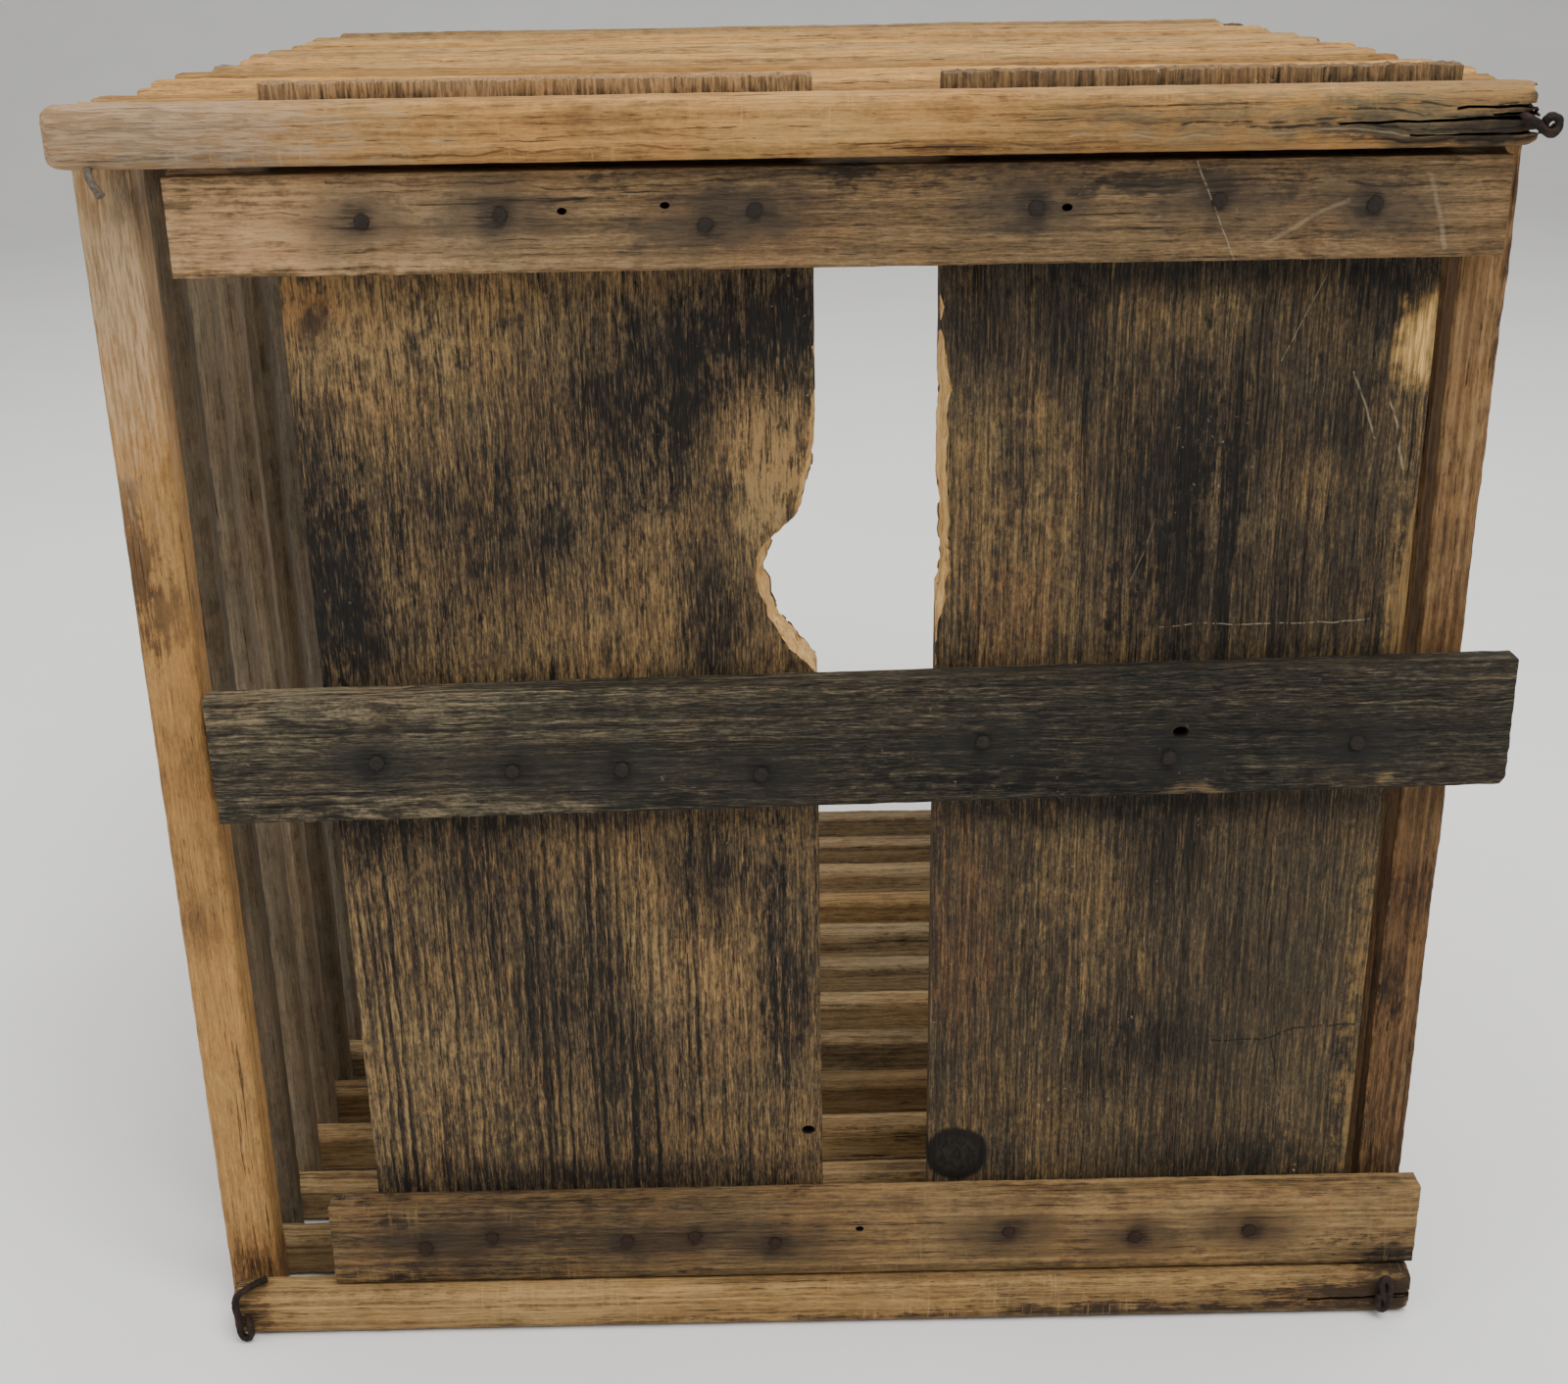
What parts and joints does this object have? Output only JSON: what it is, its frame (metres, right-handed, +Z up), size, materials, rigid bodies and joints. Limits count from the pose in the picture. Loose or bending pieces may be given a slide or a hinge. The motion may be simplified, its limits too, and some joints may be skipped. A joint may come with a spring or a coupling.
{
  "type": "egg carrier crate",
  "caption": "Slatted wooden egg carrier with interleaved slats pinned on corner wires, open at one end and closed at the other by a battened board panel.",
  "frame": {"origin": "middle of the slatted wall that the crate lies on, on its underside", "axes": "+X to the right seen from the boarded end, +Y from the boarded end to the open end, +Z up"},
  "size_m": [0.3468, 0.3222, 0.3385],
  "materials": {
    "flat_slat_wood": "dry aged softwood",
    "side_slat_wood": "dry aged softwood",
    "board_wood": "stained aged softwood",
    "batten_wood": "dry aged softwood",
    "grey_batten_wood": "weathered grey wood",
    "wire_steel": "rusted wire",
    "nail_iron": "rusted nail heads"
  },
  "bodies": {
    "floor": {"floor_slat_1": "flat_slat_wood", "floor_slat_2": "flat_slat_wood", "floor_slat_3": "flat_slat_wood", "floor_slat_4": "flat_slat_wood", "floor_slat_5": "flat_slat_wood", "floor_slat_6": "flat_slat_wood", "floor_slat_7": "flat_slat_wood", "floor_slat_8": "flat_slat_wood", "floor_slat_9": "flat_slat_wood", "floor_slat_10": "flat_slat_wood", "floor_slat_11": "flat_slat_wood", "floor_slat_12": "flat_slat_wood", "floor_slat_13": "flat_slat_wood", "lower_left_wire": "wire_steel", "lower_right_wire": "wire_steel", "left_board": "board_wood", "right_board": "board_wood", "top_batten": "batten_wood", "middle_batten": "grey_batten_wood", "bottom_batten": "batten_wood", "nails": "nail_iron"},
    "left_wall": {"left_slat_1": "side_slat_wood", "left_slat_2": "side_slat_wood", "left_slat_3": "side_slat_wood", "left_slat_4": "side_slat_wood", "left_slat_5": "side_slat_wood", "left_slat_6": "side_slat_wood", "left_slat_7": "side_slat_wood", "left_slat_8": "side_slat_wood", "left_slat_9": "side_slat_wood", "left_slat_10": "side_slat_wood", "left_slat_11": "side_slat_wood", "left_slat_12": "side_slat_wood"},
    "right_wall": {"right_slat_1": "side_slat_wood", "right_slat_2": "side_slat_wood", "right_slat_3": "side_slat_wood", "right_slat_4": "side_slat_wood", "right_slat_5": "side_slat_wood", "right_slat_6": "side_slat_wood", "right_slat_7": "side_slat_wood", "right_slat_8": "side_slat_wood", "right_slat_9": "side_slat_wood", "right_slat_10": "side_slat_wood", "right_slat_11": "side_slat_wood", "right_slat_12": "side_slat_wood"},
    "top": {"top_slat_1": "flat_slat_wood", "top_slat_2": "flat_slat_wood", "top_slat_3": "flat_slat_wood", "top_slat_4": "flat_slat_wood", "top_slat_5": "flat_slat_wood", "top_slat_6": "flat_slat_wood", "top_slat_7": "flat_slat_wood", "top_slat_8": "flat_slat_wood", "top_slat_9": "flat_slat_wood", "top_slat_10": "flat_slat_wood", "top_slat_11": "flat_slat_wood", "top_slat_12": "flat_slat_wood", "top_slat_13": "flat_slat_wood", "upper_left_wire": "wire_steel", "upper_right_wire": "wire_steel"}
  },
  "joints": [
    {"name": "left_fold", "type": "hinge", "parent": "floor", "child": "left_wall", "pos_m": [-0.16, 0, 0.00725], "axis": [0, 1, 0], "range_deg": [-0.4, 5]},
    {"name": "right_fold", "type": "hinge", "parent": "floor", "child": "right_wall", "pos_m": [0.16, 0, 0.00725], "axis": [0, 1, 0], "range_deg": [-0.4, 5]},
    {"name": "top_fold", "type": "hinge", "parent": "left_wall", "child": "top", "pos_m": [-0.16, 0, 0.32725], "axis": [0, 1, 0], "range_deg": [-5, 0.4]}
  ],
  "couplings": [
    {"joint": "right_fold", "follows": "left_fold", "ratio": 1},
    {"joint": "top_fold", "follows": "left_fold", "ratio": -1}
  ]
}
